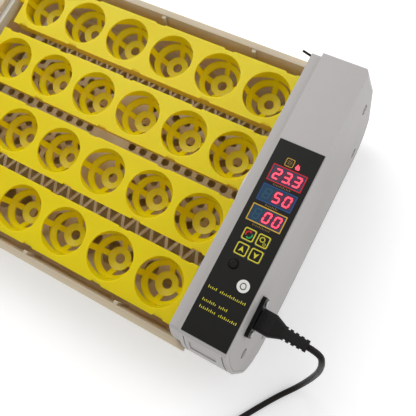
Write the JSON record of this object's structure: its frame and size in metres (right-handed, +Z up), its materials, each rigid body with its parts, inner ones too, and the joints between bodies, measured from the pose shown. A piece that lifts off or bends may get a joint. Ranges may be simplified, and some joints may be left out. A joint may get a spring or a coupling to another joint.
{
  "type": "egg incubator",
  "caption": "Tabletop egg incubator: open tub with linked tilting egg trays, floor grille, control housing with displays, keys and fan, and a mains cord.",
  "frame": {"origin": "bottom centre of the body's bounding box, on the surface it stands on", "axes": "+Z up, +X along the body towards the control housing's end face, +Y across the body"},
  "size_m": [0.5089, 0.4313, 0.1298],
  "materials": {
    "tub_pp": "milky natural polypropylene, translucent",
    "foot_rubber": "rubber",
    "water_pp": "off-white polypropylene",
    "grille_pp": "off-white polypropylene",
    "housing_abs": "moulded grey ABS",
    "cover_abs": "moulded grey ABS",
    "steel": "zinc plated",
    "black_plastic": "black moulded plastic",
    "panel_label": "printed polycarbonate label",
    "lens": "tinted acrylic",
    "led": "LED display body",
    "key_pad": "printed polyester dome, black with yellow outline",
    "pcb": "glass-epoxy board",
    "acetal": "white acetal",
    "motor_case": "pressed steel case",
    "ceramic_heat": "sheathed element",
    "tray_pp": "moulded yellow polypropylene",
    "black_pvc": "flexible PVC",
    "brass_pin": "nickel over brass"
  },
  "bodies": {
    "housing": {"base_tub": "tub_pp", "rubber_feet": "foot_rubber", "water_tray": "water_pp", "floor_grille": "grille_pp", "control_housing": "housing_abs", "end_cover": "cover_abs", "cover_screws": "steel", "lid_hinge_pin": "black_plastic", "control_panel": "panel_label", "display_lenses": "lens", "temperature_display": "led", "humidity_display": "led", "day_display": "led", "key_switches": "black_plastic", "main_board": "pcb", "board_screws": "steel", "alarm_buzzer": "black_plastic", "power_board": "pcb", "power_board_posts": "acetal", "transformer": "motor_case", "fuse_holder": "black_plastic", "fan_frame": "black_plastic", "fan_guard": "acetal", "heater_element": "ceramic_heat", "heater_clips": "acetal", "air_sensor": "acetal", "near_pivot_rail": "acetal", "back_pivot_rail": "acetal", "far_pivot_rail": "acetal", "turning_motor": "motor_case", "motor_bracket": "steel", "power_inlet": "black_plastic", "inlet_screws": "steel"},
    "egg_tray_1_body": {"egg_tray_1": "tray_pp"},
    "egg_tray_2_body": {"egg_tray_2": "tray_pp"},
    "egg_tray_3_body": {"egg_tray_3": "tray_pp"},
    "egg_tray_4_body": {"egg_tray_4": "tray_pp"},
    "tie_bar_body": {"tie_bar": "acetal"},
    "turning_crank_body": {"turning_crank": "acetal"},
    "fan_rotor_body": {"fan_rotor": "black_plastic"},
    "mode_button_body": {"mode_button": "key_pad"},
    "set_button_body": {"set_button": "key_pad"},
    "up_button_body": {"up_button": "key_pad"},
    "down_button_body": {"down_button": "key_pad"},
    "power_button_body": {"power_button": "black_plastic"},
    "cord_set": {"cord_connector": "black_pvc", "power_cord": "black_pvc", "cord_coil": "black_pvc", "cord_tail": "black_pvc", "cord_tie": "black_plastic", "mains_plug": "black_pvc", "plug_pins": "brass_pin"}
  },
  "joints": [
    {"name": "tray_1_tilt", "type": "hinge", "parent": "housing", "child": "egg_tray_1_body", "pos_m": [0, -0.0987, 0.0644], "axis": [1, 0, 0], "range_deg": [-50, 40]},
    {"name": "tray_2_tilt", "type": "hinge", "parent": "housing", "child": "egg_tray_2_body", "pos_m": [0, -0.0329, 0.0644], "axis": [1, 0, 0], "range_deg": [-50, 40]},
    {"name": "tray_3_tilt", "type": "hinge", "parent": "housing", "child": "egg_tray_3_body", "pos_m": [0, 0.0329, 0.0644], "axis": [1, 0, 0], "range_deg": [-50, 40]},
    {"name": "tray_4_tilt", "type": "hinge", "parent": "housing", "child": "egg_tray_4_body", "pos_m": [0, 0.0987, 0.0644], "axis": [1, 0, 0], "range_deg": [-50, 40]},
    {"name": "tie_bar_swing", "type": "hinge", "parent": "egg_tray_1_body", "child": "tie_bar_body", "pos_m": [0.1355, -0.09674, 0.04249], "axis": [1, 0, 0], "range_deg": [-40, 50]},
    {"name": "crank_turn", "type": "hinge", "parent": "housing", "child": "turning_crank_body", "pos_m": [0.1387, 0, 0.0644], "axis": [1, 0, 0], "range_deg": [-50, 40]},
    {"name": "fan_spin", "type": "hinge", "parent": "housing", "child": "fan_rotor_body", "pos_m": [0.1486, 0, 0.0965], "axis": [1, 0, 0], "continuous": true},
    {"name": "mode_press", "type": "slide", "parent": "housing", "child": "mode_button_body", "axis": [0, 0, -1], "range_m": [0, 0.0005], "stiffness_N_per_m": 200},
    {"name": "set_press", "type": "slide", "parent": "housing", "child": "set_button_body", "axis": [0, 0, -1], "range_m": [0, 0.0005], "stiffness_N_per_m": 200},
    {"name": "up_press", "type": "slide", "parent": "housing", "child": "up_button_body", "axis": [0, 0, -1], "range_m": [0, 0.0005], "stiffness_N_per_m": 200},
    {"name": "down_press", "type": "slide", "parent": "housing", "child": "down_button_body", "axis": [0, 0, -1], "range_m": [0, 0.0005], "stiffness_N_per_m": 200},
    {"name": "power_press", "type": "slide", "parent": "housing", "child": "power_button_body", "axis": [0, 0, -1], "range_m": [0, 0.001], "stiffness_N_per_m": 200},
    {"name": "connector_pull", "type": "slide", "parent": "housing", "child": "cord_set", "axis": [0.9972, 0, 0.0748], "range_m": [0, 0.02]}
  ],
  "couplings": [
    {"joint": "tray_2_tilt", "follows": "tray_1_tilt", "ratio": 1},
    {"joint": "tray_3_tilt", "follows": "tray_1_tilt", "ratio": 1},
    {"joint": "tray_4_tilt", "follows": "tray_1_tilt", "ratio": 1},
    {"joint": "tie_bar_swing", "follows": "tray_1_tilt", "ratio": -1},
    {"joint": "crank_turn", "follows": "tray_1_tilt", "ratio": 1}
  ]
}
